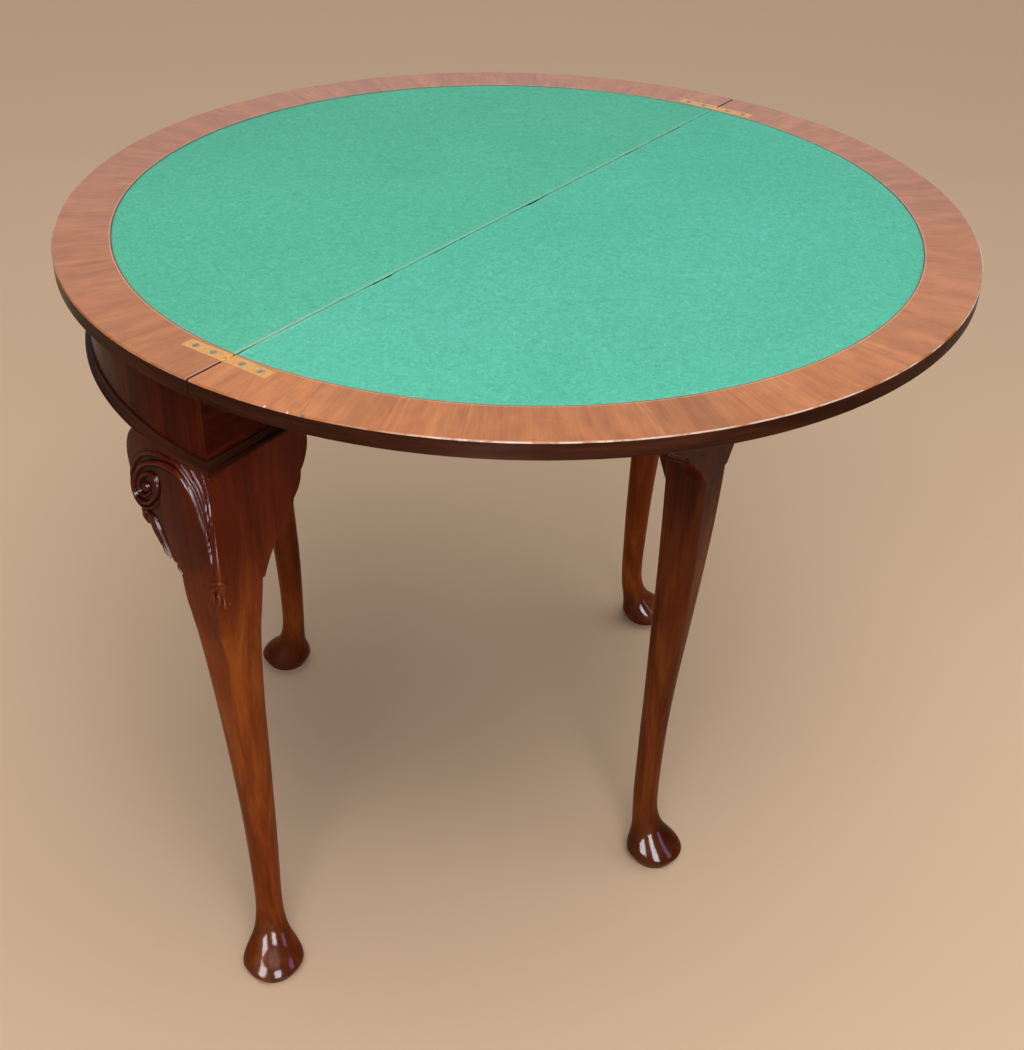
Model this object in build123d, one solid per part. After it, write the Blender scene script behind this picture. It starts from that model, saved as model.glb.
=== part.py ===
from build123d import *
from math import cos, pi, radians, sin, sqrt
import os

# Demi lune card table, shown open. Millimetres. X runs along the fold, the curved
# front faces -Y, the flap lies over +Y, Z is up and the floor is at zero.
# "near" is the +X end and "far" the -X end.

# Overall sizes
table_height = 745.0
top_radius = 432.0
top_overhang = 22.0
frame_drop = 100.0
back_inset = 13.0

# Leaves
leaf_thickness = 16.0
band_thickness = 1.4
border_width = 52.0
baize_thickness = 1.2
baize_clearance = 0.2
leaf_arris = 1.1
band_piece_count = 6

# Fold and its hinges: two pivots, one in each leaf, joined by a short link
fold_gap = 0.8
fold_arris = 1.5
pivot_offset = 2.0
pivot_depth = 1.85
hinge_length = 45.0
hinge_width = 12.5
hinge_thickness = 3.0
hinge_inset = 43.5
pin_radius = 0.7
pin_clearance = 0.05
link_width = 4.0
link_end_radius = 1.35
link_clearance = 0.25
screw_head_radius = 3.3
screw_head_depth = 2.0
screw_shank_radius = 1.6
screw_length = 11.0
screw_pitch = 19.5
screw_end_margin = 10.0
screw_slot_width = 0.8
screw_slot_depth = 0.7

# Frieze, rails and mouldings
rail_thickness = 22.0
veneer_thickness = 1.0
moulding_height = 11.0
moulding_projection = 6.0
moulding_lip = 3.0
moulding_step_shares = (0.33, 0.5, 1.5, 1.8)

# Legs
knee_side = 54.0
gate_knee_side = 44.0
knee_reveal = 2.0
knee_trim = 1.5
ankle_side = 28.0
ankle_height = 85.0
foot_radius = 32.0
foot_sole_radius = 25.0
foot_edge_height = 13.0
post_side = 36.0
post_depth = 36.0
post_overlap = 8.0
corner_ankle_inset = 47.0
corner_ankle_setback = 34.0
corner_toe = 17.5
straight_toe = 18.0
front_ankle_setback = 66.0
gate_ankle_setback = 38.0

# Ears glued beside the knees
ear_thickness = 24.0
ear_tuck = 12.0
back_ear_width = 58.0
front_ear_width = 70.0
gate_ear_width = 77.0
gate_bracket_reach = 52.0
back_ear_drop_share = 0.201
front_ear_drop_share = 0.203
gate_ear_drop_share = 0.164
gate_bracket_drop_share = 0.229

# Pull-out gate: a piece of the back rail, two lopers, a stretcher and a tie
gate_travel = 249.0
gate_half_width = 98.0
gate_gap = 0.4
slide_clearance = 0.3
bridge_clearance = 1.5
loper_inner = 62.0
loper_width = 20.0
loper_height = 46.0
loper_bottom_rise = 12.0
loper_end_clearance = 4.0
groove_depth = 8.0
groove_height = 12.0
runner_thickness = 22.0
runner_bottom_rise = 6.0
bridge_thickness = 21.5
tie_thickness = 14.0
tie_top_clearance = 3.0
stretcher_width = 22.0
gate_post_width = 40.0

# Blocks and screws that hold the fixed leaf down
block_side = 24.0
block_length = 50.0
block_angles = (-160.0, -125.0, -55.0, -20.0)
top_screw_radius = 2.2
top_screw_head_radius = 4.2
top_screw_head_height = 3.0
top_screw_bite = 10.0

# One named overrun for every cut
overrun = 5.0

# Turns, in degrees
half_turn = 180.0
quarter_turn = 90.0

# Worked out from the sizes above
frieze_radius = top_radius - top_overhang
baize_radius = top_radius - border_width
hinge_radius = top_radius - hinge_inset
leaf_bottom = table_height - leaf_thickness
core_top = table_height - band_thickness
frame_bottom = table_height - frame_drop
rail_height = leaf_bottom - frame_bottom
inner_radius = frieze_radius - rail_thickness
moulding_radius = frieze_radius + moulding_projection
knee_radius = moulding_radius - knee_reveal
back_face = -back_inset
back_inner_face = back_face - rail_thickness
knee_back = back_face + moulding_projection - knee_reveal
back_ear_drop = frame_bottom * back_ear_drop_share
front_ear_drop = frame_bottom * front_ear_drop_share
gate_ear_drop = frame_bottom * gate_ear_drop_share
gate_bracket_drop = frame_bottom * gate_bracket_drop_share
fold_edge = fold_gap / 2
pivot_height = table_height - pivot_depth

os.makedirs("parts", exist_ok=True)


def block(x_range, y_range, z_range):
    size = [high - low for low, high in (x_range, y_range, z_range)]
    middle = [(high + low) / 2 for low, high in (x_range, y_range, z_range)]
    return Pos(*middle) * Box(*size)


def rod_along_x(radius, length, x, y, z):
    return Pos(x, y, z) * Rot(0, 90, 0) * Cylinder(radius, length)


def flipped(shape):
    return mirror(shape, about=Plane.YZ)


def turned_profile(points, arc=half_turn, start=half_turn):
    """Revolve a closed outline of (radius, height) points about the table's centre."""
    outline = make_face(Polyline(*[(r, 0, z) for r, z in points], close=True))
    return Rot(0, 0, start) * revolve(outline, Axis.Z, arc)


def save(node, *solids):
    shape = solids[0] if len(solids) == 1 else Compound(children=list(solids))
    export_step(shape, "parts/" + node + ".step")


# Leaves. Each is a half disc with a crossbanded border round a panel of baize.
def fold_rounding():
    """What the rounded arris takes off the fold edge of the -Y leaf."""
    corner = block((-top_radius, top_radius), (-fold_edge - fold_arris, overrun),
                   (table_height - fold_arris, table_height + overrun))
    centre_y = -fold_edge - fold_arris
    bar = rod_along_x(fold_arris, 2 * top_radius, 0, centre_y, table_height - fold_arris)
    return corner - bar


def fold_side():
    return block((-top_radius - overrun, top_radius + overrun), (-fold_edge, top_radius),
                 (leaf_bottom - overrun, table_height + overrun))


def hinge_recess(side, depth):
    middle = side * hinge_radius
    return block((middle - hinge_width / 2, middle + hinge_width / 2),
                 (-hinge_length, overrun), (table_height - depth, table_height + overrun))


def link_pocket(side):
    middle = side * hinge_radius
    half = link_width / 2 + link_clearance
    reach = link_end_radius + link_clearance
    return block((middle - half, middle + half), (-pivot_offset - reach, overrun),
                 (pivot_height - reach, table_height + overrun))


def screw_places():
    first = hinge_length - screw_end_margin
    return (-first, -first + screw_pitch)


def screw_shape(x, y):
    head = Pos(x, y, table_height - screw_head_depth / 2) * Cone(
        screw_shank_radius, screw_head_radius, screw_head_depth)
    shank_top = table_height - screw_head_depth
    shank = Pos(x, y, shank_top - screw_length / 2) * Cylinder(screw_shank_radius, screw_length)
    return head + shank


def screw(x, y):
    slot = block((x - screw_head_radius, x + screw_head_radius),
                 (y - screw_slot_width / 2, y + screw_slot_width / 2),
                 (table_height - screw_slot_depth, table_height + overrun))
    return screw_shape(x, y) - slot


hinge_screw_places = [(side * hinge_radius, y) for side in (1, -1) for y in screw_places()]
screw_holes = [screw_shape(x, y) for x, y in hinge_screw_places]
pockets = [link_pocket(1), link_pocket(-1)]
recesses = [hinge_recess(1, hinge_thickness), hinge_recess(-1, hinge_thickness)]


def leaf_core():
    profile = [(0, leaf_bottom), (top_radius - leaf_arris, leaf_bottom),
               (top_radius, leaf_bottom + leaf_arris), (top_radius, core_top), (0, core_top)]
    core = turned_profile(profile) - fold_side() - fold_rounding()
    return core - recesses - pockets - screw_holes


def leaf_crossband():
    profile = [(baize_radius, core_top), (top_radius, core_top),
               (top_radius, table_height - leaf_arris), (top_radius - leaf_arris, table_height),
               (baize_radius, table_height)]
    span = half_turn / band_piece_count
    pieces = []
    for number in range(band_piece_count):
        piece = turned_profile(profile, span, half_turn + number * span)
        pieces.append(piece - fold_side() - fold_rounding() - recesses - pockets - screw_holes)
    return pieces


def leaf_baize():
    edge = baize_radius - baize_clearance
    profile = [(0, core_top), (edge, core_top), (edge, core_top + baize_thickness),
               (0, core_top + baize_thickness)]
    return turned_profile(profile) - fold_side() - fold_rounding() - recesses


def hinge_plate(side):
    middle = side * hinge_radius
    plate = block((middle - hinge_width / 2, middle + hinge_width / 2),
                  (-hinge_length, -fold_edge), (table_height - hinge_thickness, table_height))
    pin_hole = rod_along_x(pin_radius + pin_clearance, hinge_width + overrun, middle,
                           -pivot_offset, pivot_height)
    return plate - fold_rounding() - link_pocket(side) - pin_hole - screw_holes


def over_fold(shape):
    return mirror(shape, about=Plane.XZ)


bed_parts = {
    "bed_core": [leaf_core()],
    "bed_crossband": leaf_crossband(),
    "bed_baize": [leaf_baize()],
    "bed_hinge_plate_near": [hinge_plate(1)],
    "bed_hinge_plate_far": [hinge_plate(-1)],
    "bed_hinge_screws": [screw(x, y) for x, y in hinge_screw_places],
}


# Hinge links and pins, halfway between the two leaves
def hinge_link(side):
    middle = side * hinge_radius
    bar = block((middle - link_width / 2, middle + link_width / 2), (-pivot_offset, pivot_offset),
                (pivot_height - link_end_radius, pivot_height + link_end_radius))
    for y in (-pivot_offset, pivot_offset):
        bar = bar + rod_along_x(link_end_radius, link_width, middle, y, pivot_height)
    for y in (-pivot_offset, pivot_offset):
        bar = bar - rod_along_x(pin_radius, hinge_width, middle, y, pivot_height)
    return bar


def hinge_pins():
    return [rod_along_x(pin_radius, hinge_width, side * hinge_radius, y, pivot_height)
            for side in (1, -1) for y in (-pivot_offset, pivot_offset)]


# Frieze, rails and mouldings
def mitre_side():
    """The half of space behind the mitre at the near corner."""
    reach = 2 * top_radius
    wall = block((-reach, reach), (0, reach), (-table_height, 2 * table_height))
    corner_x = sqrt(frieze_radius ** 2 - back_inset ** 2)
    return Pos(corner_x, back_face, 0) * Rot(0, 0, 45) * wall


behind_mitre = mitre_side()


def ring_quarter(inner, outer, low, high):
    profile = [(inner, low), (outer, low), (outer, high), (inner, high)]
    return turned_profile(profile, quarter_turn, half_turn + quarter_turn)


def frieze_ground():
    ring = ring_quarter(inner_radius, frieze_radius - veneer_thickness, frame_bottom, leaf_bottom)
    return ring - behind_mitre


def frieze_veneer():
    ring = ring_quarter(frieze_radius - veneer_thickness, frieze_radius, frame_bottom, leaf_bottom)
    trim = block((0, top_radius), (back_face, top_radius), (0, table_height))
    return ring - trim - behind_mitre


def back_rail():
    bar = block((gate_half_width + gate_gap, top_radius), (back_inner_face, back_face),
                (frame_bottom, leaf_bottom))
    disc = Pos(0, 0, table_height / 2) * Cylinder(frieze_radius, table_height)
    return (bar & behind_mitre) & disc


def moulding_outline(base):
    """Outline of the moulding, as (distance out, height), on a face at distance base."""
    out = moulding_projection
    lip = moulding_lip
    low = frame_bottom
    high = frame_bottom + moulding_height
    ease_share, half_share, shoulder_share, waist_share = moulding_step_shares
    return [(base, low), (base + out - lip * ease_share, low), (base + out, low + lip * half_share),
            (base + out, low + lip), (base + out - lip * ease_share, low + lip * shoulder_share),
            (base + lip, low + lip * waist_share), (base + lip * half_share, high - lip * half_share),
            (base + lip * half_share, high), (base, high)]


def front_moulding():
    ring = turned_profile(moulding_outline(frieze_radius), quarter_turn, half_turn + quarter_turn)
    return ring - behind_mitre


def straight_moulding(x_low, x_high, face):
    outline = make_face(Polyline(*[(x_low, out, z) for out, z in moulding_outline(face)], close=True))
    return extrude(outline, x_high - x_low, Vector(1, 0, 0))


def back_moulding():
    bar = straight_moulding(gate_half_width + gate_gap, moulding_radius + overrun, back_face)
    return bar & behind_mitre


# Legs. Shares of the taper at even steps from knee to ankle, and where lean and rounding run.
knee_taper_shares = (0.0, 0.0, 0.005, 0.07, 0.33, 0.49, 0.59, 0.65, 0.7, 0.76, 0.85, 0.94, 1.0)
gate_taper_shares = (0.0, 0.0, 0.0, 0.03, 0.11, 0.23, 0.36, 0.51, 0.67, 0.8, 0.91, 0.98, 1.0)
lean_start_share = 0.15
lean_end_share = 0.95
round_start_share = 0.1
round_end_share = 0.75
knee_round_share = 0.07
# Foot, below the ankle: height, swell from ankle to foot, step towards the toe
foot_height_shares = (0.82, 0.66, 0.5, 0.36, 0.24)
foot_swell_shares = (0.01, 0.07, 0.22, 0.52, 0.85)
foot_step_shares = (0.04, 0.14, 0.34, 0.62, 0.88)
full_round_share = 0.995


def between(start, end, share):
    return start + (end - start) * share


def rounded_section(x, y, z, side, round_share):
    return Pos(x, y, z) * RectangleRounded(side, side, side / 2 * round_share)


def ramp(share, start, end):
    return min(1.0, max(0.0, (share - start) / (end - start)))


def ease(share, start, end):
    """A smooth S from 0 at start to 1 at end."""
    return (1.0 - cos(pi * ramp(share, start, end))) / 2


def leg_shape(knee, knee_width, ankle, foot, taper_shares):
    sections = []
    for step, taper_share in enumerate(taper_shares):
        down = step / (len(taper_shares) - 1)
        lean_share = ease(down, lean_start_share, lean_end_share)
        x = between(knee[0], ankle[0], lean_share)
        y = between(knee[1], ankle[1], lean_share)
        side = between(knee_width, ankle_side, taper_share)
        rounding = ramp(down, round_start_share, round_end_share)
        round_share = between(knee_round_share, full_round_share, rounding)
        height = between(frame_bottom, ankle_height, down)
        sections.append(rounded_section(x, y, height, side, round_share))
    foot_rows = zip(foot_height_shares, foot_swell_shares, foot_step_shares)
    for height_share, swell_share, step_share in foot_rows:
        x = between(ankle[0], foot[0], step_share)
        y = between(ankle[1], foot[1], step_share)
        side = between(ankle_side, 2 * foot_radius, swell_share)
        sections.append(rounded_section(x, y, ankle_height * height_share, side, full_round_share))
    foot_side = 2 * foot_radius
    sections.append(rounded_section(foot[0], foot[1], foot_edge_height, foot_side, full_round_share))
    body = loft(sections)
    sole = loft([rounded_section(foot[0], foot[1], foot_edge_height, foot_side, full_round_share),
                 rounded_section(foot[0], foot[1], 0, 2 * foot_sole_radius, full_round_share)])
    return body + sole


def knee_cylinder():
    return Pos(0, 0, table_height / 2) * Cylinder(knee_radius, table_height)


corner_x = knee_radius
corner_knee = (corner_x - knee_side / 2, knee_back - knee_side / 2)
corner_ankle = (corner_x - corner_ankle_inset, knee_back - corner_ankle_setback)
corner_foot = (corner_ankle[0] + corner_toe, corner_ankle[1] + corner_toe)
front_knee = (0, -knee_radius + knee_side / 2 - knee_trim)
front_ankle = (0, -knee_radius + front_ankle_setback)
front_foot = (0, front_ankle[1] - straight_toe)
gate_front = knee_back + gate_travel
gate_knee = (0, gate_front - gate_knee_side / 2)
gate_ankle = (0, gate_front - gate_ankle_setback)
gate_foot = (0, gate_ankle[1] + straight_toe)


post_low = frame_bottom - post_overlap


def corner_leg_blank():
    return leg_shape(corner_knee, knee_side, corner_ankle, corner_foot, knee_taper_shares)


def front_leg_blank():
    return leg_shape(front_knee, knee_side, front_ankle, front_foot, knee_taper_shares)


def corner_leg():
    post = block((corner_x - knee_side, corner_x), (knee_back - knee_side, back_inner_face),
                 (post_low, leaf_bottom))
    post = post & (Pos(0, 0, table_height / 2) * Cylinder(inner_radius, table_height))
    return (corner_leg_blank() & knee_cylinder()) + post


def front_leg():
    post = block((-post_side / 2, post_side / 2), (-frieze_radius, -inner_radius + post_depth),
                 (post_low, leaf_bottom))
    post = post & (Pos(0, 0, table_height / 2) * Cylinder(inner_radius, table_height))
    return (front_leg_blank() & knee_cylinder()) + post


gate_rail_back = back_inner_face + gate_travel
gate_post_back = gate_front - gate_knee_side
gate_top = leaf_bottom - slide_clearance


def gate_leg():
    post = block((-gate_post_width / 2, gate_post_width / 2), (gate_post_back, gate_rail_back),
                 (post_low, gate_top))
    leg = leg_shape(gate_knee, gate_knee_side, gate_ankle, gate_foot, gate_taper_shares)
    return leg + post


# Ears: each outline's cusps as shares (out, down), from the top outer corner to the knee,
# and how far the edge before each cusp bulges, as a share of its length
back_ear_shares = ((1.0, 0.0, 0.0), (0.885, 0.355, 0.14), (0.7, 0.533, 0.11), (0.424, 0.682, 0.13),
                   (-0.03, 1.0, -0.04))
gate_ear_shares = ((1.0, 0.0, 0.0), (0.97, 0.24, 0.13), (0.78, 0.42, 0.13), (0.52, 0.55, 0.13),
                   (0.34, 0.69, 0.13), (0.17, 0.81, 0.13), (0.0, 1.0, 0.0))
front_ear_shares = ((0.757, 0.0, 0.0), (0.98, 0.372, 0.165), (0.954, 0.609, 0.16), (0.813, 0.63, 0.1),
                    (0.793, 0.725, 0.2), (0.629, 0.718, 0.15), (0.471, 0.798, 0.1),
                    (0.386, 0.828, 0.15), (0.086, 0.878, 0.1), (-0.03, 1.0, -0.04))


def ear_outline(width, drop, cusps):
    """Closed outline with its top at zero height, tucked a little way behind the knee."""
    points = [(width * out, -drop * down) for out, down, bulge in cusps]
    edges = [Line((-ear_tuck, 0), points[0])]
    for start, end, (out, down, bulge) in zip(points[:-1], points[1:], cusps[1:]):
        if bulge == 0:
            edges.append(Line(start, end))
            continue
        middle = ((start[0] + end[0]) / 2, (start[1] + end[1]) / 2)
        along = (end[0] - start[0], end[1] - start[1])
        swell = (middle[0] - along[1] * bulge, middle[1] + along[0] * bulge)
        edges.append(ThreePointArc(start, swell, end))
    edges.append(Line(points[-1], (-ear_tuck, -drop)))
    edges.append(Line((-ear_tuck, -drop), (-ear_tuck, 0)))
    return make_face(edges)


def flat_ear(width, drop, cusps):
    """An ear that grows towards -X from x = 0, with its face on y = 0."""
    face = Plane((0, 0, 0), x_dir=(-1, 0, 0), z_dir=(0, 1, 0)) * ear_outline(width, drop, cusps)
    return extrude(face, -ear_thickness)


def corner_back_ear():
    ear = flat_ear(back_ear_width, back_ear_drop, back_ear_shares)
    return Pos(corner_x - knee_side, knee_back, frame_bottom) * ear


def gate_far_ear():
    ear = flat_ear(gate_ear_width, gate_ear_drop, gate_ear_shares)
    return Pos(-gate_knee_side / 2, gate_front, frame_bottom) * ear


def knee_shell():
    inner = Pos(0, 0, table_height / 2) * Cylinder(knee_radius - ear_thickness, table_height)
    return knee_cylinder() - inner


def corner_front_ear():
    """An ear on the curved front, growing towards -Y from the corner leg."""
    outline = Plane((0, 0, 0), x_dir=(0, -1, 0), z_dir=(-1, 0, 0)) * ear_outline(
        front_ear_width, front_ear_drop, front_ear_shares)
    slab = extrude(outline, knee_side, both=True)
    return (Pos(corner_x - knee_side / 2, knee_back - knee_side, frame_bottom) * slab) & knee_shell()


def front_leg_near_ear():
    """The same ear beside the front leg, growing towards +X."""
    outline = Plane((0, 0, 0), x_dir=(1, 0, 0), z_dir=(0, -1, 0)) * ear_outline(
        front_ear_width, front_ear_drop, front_ear_shares)
    slab = extrude(outline, knee_side, both=True)
    return (Pos(knee_side / 2, -knee_radius + knee_side / 2, frame_bottom) * slab) & knee_shell()


bracket_out_shares = (1.0, 0.42, 0.12, 0.0)
bracket_down_shares = (0.0, 0.62, 0.9, 1.0)


def gate_bracket():
    """Concave bracket behind the gate leg, glued up under the stretcher."""
    points = [(gate_bracket_reach * out, -gate_bracket_drop * down)
              for out, down in zip(bracket_out_shares, bracket_down_shares)]
    edges = [Line((0, 0), points[0]), Spline(*points), Line(points[-1], (0, 0))]
    outline = Plane((0, 0, 0), x_dir=(0, -1, 0), z_dir=(-1, 0, 0)) * make_face(edges)
    bracket = extrude(outline, stretcher_width / 2, both=True)
    return Pos(0, gate_post_back, loper_bottom) * bracket


# Pull-out gate
loper_bottom = frame_bottom + loper_bottom_rise
loper_top = loper_bottom + loper_height
loper_outer = loper_inner + loper_width
loper_reach = sqrt(inner_radius ** 2 - loper_outer ** 2) - loper_end_clearance
loper_back_end = -loper_reach + gate_travel
groove_low = loper_bottom + (loper_height - groove_height) / 2
groove_high = groove_low + groove_height
runner_inner = loper_outer + gate_gap
runner_outer = runner_inner + runner_thickness
bridge_front = gate_post_back - gate_travel - gate_gap
bridge_back = bridge_front - bridge_thickness
bridge_bottom = loper_top + bridge_clearance
tie_front = bridge_back - slide_clearance
tie_back = tie_front - tie_thickness


def gate_frieze():
    return block((-gate_half_width, gate_half_width), (gate_rail_back, back_face + gate_travel),
                 (frame_bottom, gate_top))


def gate_moulding():
    return straight_moulding(-gate_half_width, gate_half_width, back_face + gate_travel)


def loper():
    bar = block((loper_inner, loper_outer), (loper_back_end, gate_rail_back),
                (loper_bottom, loper_top))
    groove = block((loper_outer - groove_depth, loper_outer + overrun),
                   (loper_back_end - overrun, gate_rail_back + overrun), (groove_low, groove_high))
    return bar - groove


def loper_tie():
    return block((-loper_inner, loper_inner), (tie_back, tie_front),
                 (loper_bottom, leaf_bottom - tie_top_clearance))


def stretcher():
    return block((-stretcher_width / 2, stretcher_width / 2), (tie_front, gate_post_back),
                 (loper_bottom, loper_top))


def runner():
    low = frame_bottom + runner_bottom_rise
    bar = block((runner_inner, runner_outer), (-inner_radius, back_inner_face), (low, leaf_bottom))
    tongue = block((loper_outer - groove_depth + slide_clearance, runner_inner),
                   (-inner_radius, back_inner_face),
                   (groove_low + slide_clearance, groove_high - slide_clearance))
    disc = Pos(0, 0, table_height / 2) * Cylinder(inner_radius, table_height)
    return (bar + tongue) & disc


def bridge_rail():
    return block((-runner_inner, runner_inner), (bridge_back, bridge_front), (bridge_bottom, leaf_bottom))


# Blocks and screws under the fixed leaf
def block_middle(angle):
    radius = inner_radius - block_side / 2
    return radius * cos(radians(angle)), radius * sin(radians(angle))


def top_screw(angle):
    x, y = block_middle(angle)
    low = leaf_bottom - block_side
    high = leaf_bottom + top_screw_bite
    shank = Pos(x, y, (low + high) / 2) * Cylinder(top_screw_radius, high - low)
    head = Pos(x, y, low + top_screw_head_height / 2) * Cylinder(
        top_screw_head_radius, top_screw_head_height)
    return shank + head


def top_block(angle):
    middle = Pos(inner_radius - block_side / 2, 0, leaf_bottom - block_side / 2)
    bar = Rot(0, 0, angle) * middle * Box(2 * block_side, block_length, block_side)
    disc = Pos(0, 0, table_height / 2) * Cylinder(inner_radius, table_height)
    hollow = Rot(0, 0, angle) * block((0, inner_radius - block_side), (-top_radius, top_radius),
                                      (0, table_height))
    return (bar & disc) - hollow - top_screw(angle)


top_screws = [top_screw(angle) for angle in block_angles]
bed_parts["bed_core"] = [bed_parts["bed_core"][0] - top_screws]

frieze_near = frieze_ground()
veneer_near = frieze_veneer()
moulding_near = front_moulding()
rail_near = back_rail()
back_moulding_near = back_moulding()
leg_near = corner_leg()
leg_front = front_leg()
leg_gate = gate_leg()
front_ear_near = corner_front_ear() - corner_leg_blank()
back_ear_near = corner_back_ear() - leg_near
middle_ear_near = front_leg_near_ear() - front_leg_blank()
runner_near = runner()
loper_near = loper()
ear_far = gate_far_ear() - leg_gate

for node, solids in bed_parts.items():
    save(node, *solids)
save("flap_core", over_fold(leaf_core()))
save("flap_crossband", *[over_fold(piece) for piece in leaf_crossband()])
save("flap_baize", over_fold(leaf_baize()))
save("flap_hinge_plate_near", over_fold(hinge_plate(1)))
save("flap_hinge_plate_far", over_fold(hinge_plate(-1)))
save("flap_hinge_screws", *[over_fold(screw(x, y)) for x, y in hinge_screw_places])
save("hinge_link_near", hinge_link(1))
save("hinge_link_far", hinge_link(-1))
save("hinge_pins", *hinge_pins())
save("frieze_ground_near", frieze_near)
save("frieze_ground_far", flipped(frieze_near))
save("frieze_veneer_near", veneer_near)
save("frieze_veneer_far", flipped(veneer_near))
save("front_moulding_near", moulding_near)
save("front_moulding_far", flipped(moulding_near))
save("back_rail_near", rail_near)
save("back_rail_far", flipped(rail_near))
save("back_moulding_near", back_moulding_near)
save("back_moulding_far", flipped(back_moulding_near))
save("corner_leg_near", leg_near)
save("corner_leg_far", flipped(leg_near))
save("front_leg", leg_front)
save("corner_front_ear_near", front_ear_near)
save("corner_front_ear_far", flipped(front_ear_near))
save("corner_back_ear_near", back_ear_near)
save("corner_back_ear_far", flipped(back_ear_near))
save("front_leg_ear_near", middle_ear_near)
save("front_leg_ear_far", flipped(middle_ear_near))
save("runner_near", runner_near)
save("runner_far", flipped(runner_near))
save("bridge_rail", bridge_rail())
save("top_blocks", *[top_block(angle) for angle in block_angles])
save("top_screws", *top_screws)
save("gate_leg", leg_gate)
save("gate_ear_far", ear_far)
save("gate_ear_near", flipped(ear_far))
save("gate_bracket", gate_bracket() - leg_gate)
save("gate_frieze", gate_frieze())
save("gate_moulding", gate_moulding())
save("gate_loper_near", loper_near)
save("gate_loper_far", flipped(loper_near))
save("gate_tie", loper_tie())
save("gate_stretcher", stretcher())
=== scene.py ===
import math

import bmesh
import bpy
import numpy as np
from mathutils import Euler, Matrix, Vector, noise
from mathutils.bvhtree import BVHTree


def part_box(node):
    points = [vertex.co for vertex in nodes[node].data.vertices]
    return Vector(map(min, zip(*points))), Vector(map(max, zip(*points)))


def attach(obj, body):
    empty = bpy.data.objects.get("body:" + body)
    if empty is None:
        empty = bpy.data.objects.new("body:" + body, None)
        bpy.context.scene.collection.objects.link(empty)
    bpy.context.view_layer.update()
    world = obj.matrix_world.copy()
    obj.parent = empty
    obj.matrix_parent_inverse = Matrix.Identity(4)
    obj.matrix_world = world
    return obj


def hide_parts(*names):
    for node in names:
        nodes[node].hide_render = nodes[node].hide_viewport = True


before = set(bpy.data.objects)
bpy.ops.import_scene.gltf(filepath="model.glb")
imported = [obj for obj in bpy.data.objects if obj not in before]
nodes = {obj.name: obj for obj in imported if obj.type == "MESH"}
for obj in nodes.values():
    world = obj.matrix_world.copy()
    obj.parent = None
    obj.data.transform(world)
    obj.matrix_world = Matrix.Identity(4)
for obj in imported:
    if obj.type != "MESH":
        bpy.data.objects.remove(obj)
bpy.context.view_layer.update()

mm = 0.001

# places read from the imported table
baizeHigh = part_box("bed_baize")[1]
friezeLow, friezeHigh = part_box("frieze_veneer_near")
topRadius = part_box("bed_core")[1].x
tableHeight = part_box("bed_crossband")[1].z
baizeRadius = baizeHigh.x
foldEdge = -baizeHigh.y
print("frame loaded:", len(nodes), "nodes")


# small helpers for node trees
def newMaterial(name):
    material = bpy.data.materials.new(name)
    material.use_nodes = True
    tree = material.node_tree
    tree.nodes.clear()
    output = tree.nodes.new("ShaderNodeOutputMaterial")
    shader = tree.nodes.new("ShaderNodeBsdfPrincipled")
    tree.links.new(shader.outputs["BSDF"], output.inputs["Surface"])
    return material, tree, shader


def plug(tree, value, socket):
    if isinstance(value, bpy.types.NodeSocket):
        tree.links.new(value, socket)
    else:
        socket.default_value = value


def maths(tree, operation, first, second=0.0, third=None):
    node = tree.nodes.new("ShaderNodeMath")
    node.operation = operation
    plug(tree, first, node.inputs[0])
    plug(tree, second, node.inputs[1])
    if third is not None:
        plug(tree, third, node.inputs[2])
    return node.outputs[0]


def times(tree, first, second):
    return maths(tree, "MULTIPLY", first, second)


def plus(tree, first, second):
    return maths(tree, "ADD", first, second)


def minus(tree, first, second):
    return maths(tree, "SUBTRACT", first, second)


def lengthOf(tree, x, y):
    return maths(tree, "SQRT", plus(tree, times(tree, x, x), times(tree, y, y)))


def ramp(tree, value, stops):
    node = tree.nodes.new("ShaderNodeValToRGB")
    plug(tree, value, node.inputs["Fac"])
    elements = node.color_ramp.elements
    while len(elements) < len(stops):
        elements.new(0.5)
    for element, (place, colour) in zip(elements, stops):
        element.position = place
        element.color = (*colour, 1.0)
    return node.outputs["Color"]


def fade(tree, value, low, high, fromValue=0.0, toValue=1.0):
    # a soft step from one value to another
    node = tree.nodes.new("ShaderNodeMapRange")
    node.interpolation_type = "SMOOTHSTEP"
    plug(tree, value, node.inputs["Value"])
    for socket, number in zip(("From Min", "From Max", "To Min", "To Max"), (low, high, fromValue, toValue)):
        node.inputs[socket].default_value = number
    return node.outputs["Result"]


def mixColour(tree, amount, first, second, blend="MIX"):
    # the second colour may be a plain one of three parts
    node = tree.nodes.new("ShaderNodeMix")
    node.data_type = "RGBA"
    node.blend_type = blend
    plug(tree, amount, node.inputs[0])
    plug(tree, first, node.inputs[6])
    plug(tree, (*second, 1.0) if isinstance(second, tuple) else second, node.inputs[7])
    return node.outputs[2]


def noiseAt(tree, vector, scale, detail=3.0, roughness=0.55, distortion=0.0):
    node = tree.nodes.new("ShaderNodeTexNoise")
    plug(tree, vector, node.inputs["Vector"])
    node.inputs["Scale"].default_value = scale
    node.inputs["Detail"].default_value = detail
    node.inputs["Roughness"].default_value = roughness
    node.inputs["Distortion"].default_value = distortion
    return node.outputs["Fac"]


def objectPoint(tree):
    return tree.nodes.new("ShaderNodeTexCoord").outputs["Object"]


def split(tree, vector):
    node = tree.nodes.new("ShaderNodeSeparateXYZ")
    plug(tree, vector, node.inputs[0])
    return node.outputs


def join(tree, x, y, z):
    node = tree.nodes.new("ShaderNodeCombineXYZ")
    for socket, value in zip(node.inputs, (x, y, z)):
        plug(tree, value, socket)
    return node.outputs[0]


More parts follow.
